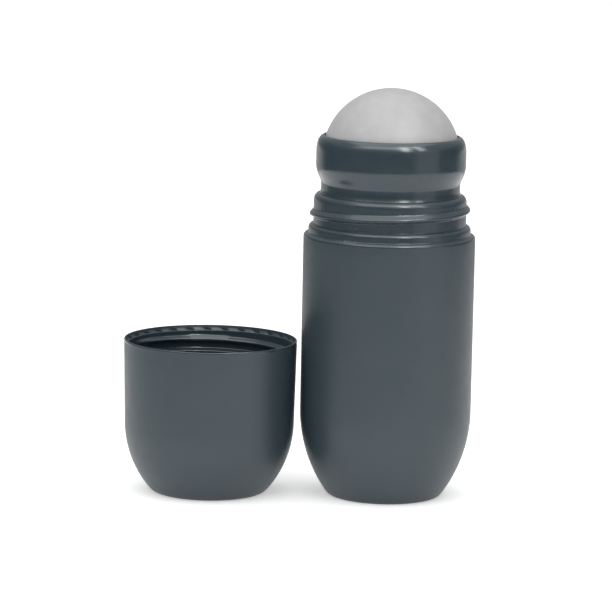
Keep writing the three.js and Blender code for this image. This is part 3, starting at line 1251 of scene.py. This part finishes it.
@dataclass
class Contents(TurnedPiece):
    """Liquid in the bottle, with a meniscus at the wall."""

    wall_gap: float = 2.1 * MM
    meniscus_height: float = 0.6 * MM
    meniscus_width: float = 2 * MM

    name = "liquid_fill"
    node = "antiperspirant_liquid"
    body = "bottle"
    slot = "liquid"
    columns = 64

    def outline(self) -> list[Stretch]:
        """Gives the outside from the bottom up to the level, which dips a little inside the wall.

        Returns:
            The stretches in order.
        """
        low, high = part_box(self.node)
        radius = half_width(self.node)
        side = Bottle().side
        curve = side.curve - self.wall_gap
        bottom_angle = side.angle_at(low.z, self.wall_gap)
        dip = high.z - self.meniscus_height
        meniscus = [(radius, high.z), (radius, dip), (radius - self.meniscus_width, dip)]
        return [
            Stretch(Zone.POLISHED, step=3 * MM, corners=[
                Corner(0.0, low.z),
                *arc(side.centre, (curve, curve), -bottom_angle, 0.0, steps=10),
                *bend(meniscus, steps=6),
                Corner(0.0, dip),
            ])
        ]

    def finishes(self) -> dict[Zone, Finish]:
        """Gives the white emulsion.

        Returns:
            The finish of its one zone.
        """
        return {
            Zone.POLISHED: MilkyLiquid(
                name="white_emulsion",
                colour=(0.8, 0.81, 0.79, 1.0),
                streak_colour=(0.74, 0.76, 0.74, 1.0),
                streak_size=6 * MM,
                roughness=(0.08, 0.16),
            )
        }


@dataclass(frozen=True)
class SoftBox:
    """Rectangular lamp that points at the pair, placed by angles from the camera's side."""

    name: str
    azimuth: float
    elevation: float
    distance: float
    width: float
    height: float
    radiance: float
    gloss_only: bool = False

    def hang(self, target: Vector) -> None:
        """Makes the lamp and points it at its target.

        Args:
            target: Middle of the pair.
        """
        lamp = bpy.data.lights.new(self.name, "AREA")
        lamp.shape = "RECTANGLE"
        lamp.size = self.width
        lamp.size_y = self.height
        lamp.energy = self.radiance * math.pi * self.width * self.height
        holder = add_object(self.name, lamp)
        side = math.radians(self.azimuth)
        rise = math.radians(self.elevation)
        away = Vector((math.sin(side) * math.cos(rise), -math.cos(side) * math.cos(rise), math.sin(rise)))
        holder.location = target + away * self.distance
        holder.rotation_euler = (-away).to_track_quat("-Z", "Y").to_euler()
        holder.visible_camera = False
        holder.visible_diffuse = not self.gloss_only


@dataclass
class Studio:
    """White floor, soft lamps, a dark screen that only gloss shows, and the camera."""

    floor_size: float = 12.0
    floor_colour: Colour = (0.9, 0.9, 0.9, 1.0)
    floor_lift: float = 0.45
    sky_strength: float = 0.4
    screen_colour: Colour = (0.03, 0.03, 0.03, 1.0)
    screen_radius: float = 0.37
    screen_height: float = 0.26
    screen_shift: float = 0.05
    screen_depth_fade: Span = (0.16, 0.33)
    screen_height_fade: Span = (0.19, 0.26)
    skirt_share: float = 0.55
    skirt_fade: Span = (0.04, 0.08)
    screen_steps: int = 48
    target: Vector = field(default_factory=lambda: Vector((1.825 * MM, 0.0, 49.03 * MM)))
    camera_distance: float = 0.9786
    camera_elevation: float = 8.976
    camera_roll: float = 1.158
    camera_lens: float = 222.6
    camera_sensor: float = 36.0
    # Each lamp has its azimuth, elevation, distance, width, height and radiance.
    lamps: tuple[SoftBox, ...] = (
        SoftBox("overhead_panel", -10.0, 78.0, 1.5, 2.1, 2.5, 1.7),
        SoftBox("front_strip", -18.0, 46.0, 1.5, 2.4, 0.5, 1.5, gloss_only=True),
        SoftBox("side_card", 58.0, 8.0, 0.35, 0.23, 0.24, 0.5, gloss_only=True),
        SoftBox("near_pane", 25.0, 42.0, 0.9, 0.17, 0.5, 9.0, gloss_only=True),
        SoftBox("far_pane", 51.0, 42.0, 0.9, 0.15, 0.5, 7.0, gloss_only=True),
    )

    def lay_floor(self) -> None:
        """Lays the white floor, lifted to plain white where it is seen; it keeps its shadows."""
        half = self.floor_size / 2
        corners = [(-half, -half, 0), (half, -half, 0), (half, half, 0), (-half, half, 0)]
        mesh = bpy.data.meshes.new("floor")
        mesh.from_pydata(corners, [], [(0, 1, 2, 3)])
        sheet = NodeSheet("white_floor")
        rays = sheet.add("LightPath", {}).outputs
        seen = sheet.math("MAXIMUM", rays["Is Camera Ray"], rays["Is Glossy Ray"])
        seen = sheet.math("MAXIMUM", seen, rays["Is Transmission Ray"])
        sheet.shade({
            "Base Color": self.floor_colour,
            "Roughness": 0.9,
            "Specular IOR Level": 0.0,
            "Emission Color": (1.0, 1.0, 1.0, 1.0),
            "Emission Strength": sheet.math("MULTIPLY", seen, self.floor_lift),
        })
        mesh.materials.append(sheet.material)
        floor = add_object("floor", mesh)

    def stand_screen(self) -> None:
        """Stands a dark round screen about the pair, low at the back, that only their gloss shows."""
        vertices = []
        for step in range(self.screen_steps + 1):
            turn = math.tau * step / self.screen_steps
            across = self.screen_shift + self.screen_radius * math.sin(turn)
            back = self.screen_radius * math.cos(turn)
            vertices += [(across, back, 0.0), (across, back, self.screen_height)]
        faces = [(foot, foot + 1, foot + 3, foot + 2) for foot in range(0, 2 * self.screen_steps, 2)]
        mesh = bpy.data.meshes.new("dark_screen")
        mesh.from_pydata(vertices, [], faces)
        sheet = NodeSheet("dark_screen_cloth")
        sides = sheet.remap(sheet.along("Y"), self.screen_depth_fade, (1.0, 0.0))
        top = sheet.remap(sheet.along("Z"), self.screen_height_fade, (1.0, 0.0))
        skirt = sheet.remap(sheet.along("Z"), self.skirt_fade, (self.skirt_share, 0.0))
        cover = sheet.math("MAXIMUM", sheet.math("MULTIPLY", sides, top), skirt)
        sheet.shade({
            "Base Color": self.screen_colour,
            "Roughness": 1.0,
            "Specular IOR Level": 0.0,
            "Alpha": cover,
        })
        mesh.materials.append(sheet.material)
        screen = add_object("dark_screen", mesh)
        screen.visible_camera = False
        screen.visible_diffuse = False
        screen.visible_shadow = False
        screen.visible_transmission = False

    def light(self) -> None:
        """Hangs the lamps under an even white sky."""
        world = bpy.data.worlds.new("white_room")
        world.use_nodes = True
        background = world.node_tree.nodes["Background"]
        background.inputs["Color"].default_value = (1.0, 1.0, 1.0, 1.0)
        background.inputs["Strength"].default_value = self.sky_strength
        bpy.context.scene.world = world
        for lamp in self.lamps:
            lamp.hang(self.target)

    def aim_camera(self) -> None:
        """Puts the camera where the picture was taken from."""
        camera = bpy.data.cameras.new("camera")
        camera.lens = self.camera_lens
        camera.sensor_width = self.camera_sensor
        holder = add_object("camera", camera)
        rise = math.radians(self.camera_elevation)
        away = Vector((0.0, -math.cos(rise), math.sin(rise)))
        tilt = Matrix.Rotation(math.pi / 2 - rise, 4, "X")
        roll = Matrix.Rotation(math.radians(self.camera_roll), 4, "Z")
        holder.matrix_world = Matrix.Translation(self.target + away * self.camera_distance) @ tilt @ roll
        bpy.context.scene.camera = holder
        bpy.context.scene.view_settings.view_transform = "Standard"


def main() -> None:
    """Sets up the studio, then builds and dresses each piece in order."""
    logging.basicConfig(level=logging.INFO, format="%(name)s: %(message)s")
    studio = Studio()
    studio.aim_camera()
    studio.lay_floor()
    studio.stand_screen()
    studio.light()
    pieces: list[TurnedPiece] = [
        Bottle(),
        BallHousing(),
        RollerBall(Half.UPPER),
        RollerBall(Half.LOWER),
        ScrewCap(),
        Contents(),
    ]
    for piece in pieces:
        built = piece.build()
        piece.dress(built)
        log.info("%s rides on %s, %d faces", built.name, piece.body, len(built.data.polygons))


if __name__ == "__main__":
    main()
